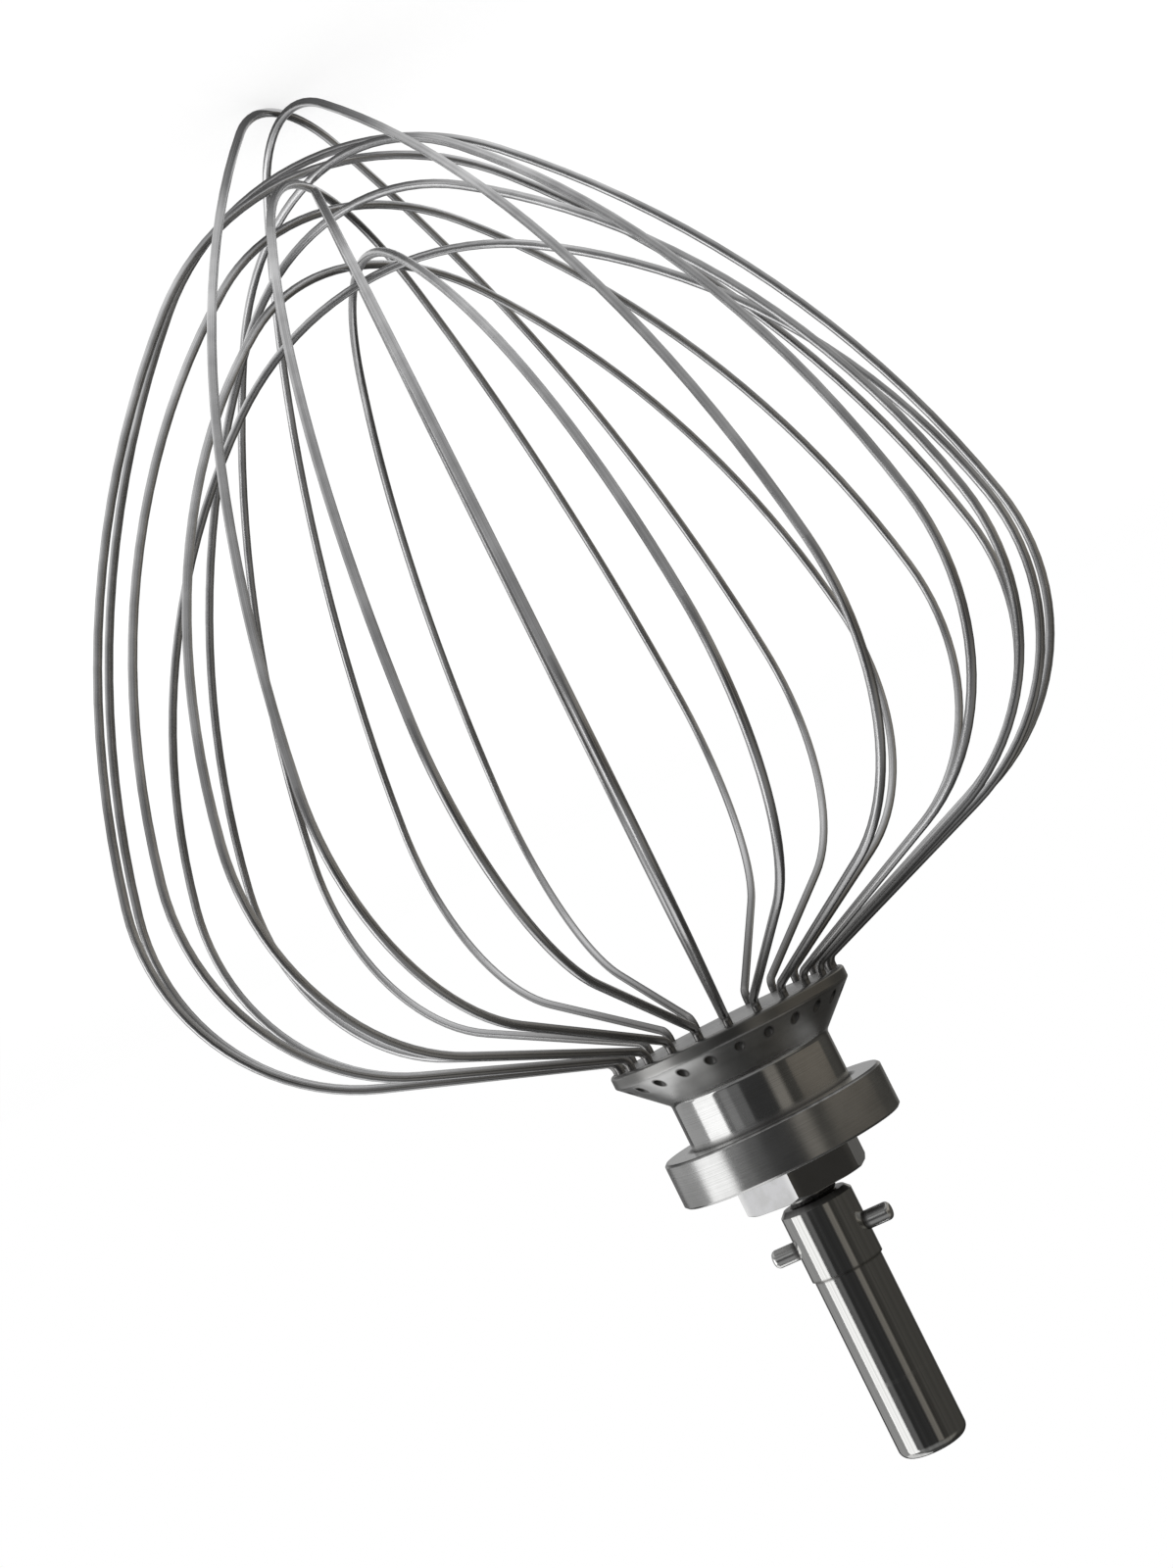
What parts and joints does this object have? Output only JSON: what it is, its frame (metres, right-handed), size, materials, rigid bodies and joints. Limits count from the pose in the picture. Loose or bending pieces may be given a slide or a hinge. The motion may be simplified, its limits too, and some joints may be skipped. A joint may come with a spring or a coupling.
{
  "type": "stand mixer wire whisk",
  "caption": "Balloon whisk of nested wire loops in a drilled, turned hub with a collar, on a round drive shaft with a cross pin that locks into a mixer's bayonet socket.",
  "frame": {"origin": "on the drive axis, at the step where the plain shank of the shaft meets the thicker length that holds the cross pin", "axes": "+Z along the drive axis towards the shaft's free end, with the balloon of wires hanging below; X along the cross pin"},
  "size_m": [0.161, 0.1666, 0.2537],
  "materials": {
    "shaft_steel": "polished",
    "pin_steel": "ground",
    "nut_steel": "satin",
    "hub_metal": "polished",
    "wire_steel": "drawn and polished"
  },
  "bodies": {
    "root": {"shaft": "shaft_steel", "drive_pin": "pin_steel", "lock_nut": "nut_steel", "hub": "hub_metal", "wire_loop_01": "wire_steel", "wire_loop_02": "wire_steel", "wire_loop_03": "wire_steel", "wire_loop_04": "wire_steel", "wire_loop_05": "wire_steel", "wire_loop_06": "wire_steel", "wire_loop_07": "wire_steel", "wire_loop_08": "wire_steel", "wire_loop_09": "wire_steel", "wire_loop_10": "wire_steel", "wire_loop_11": "wire_steel", "wire_loop_12": "wire_steel"}
  },
  "joints": []
}
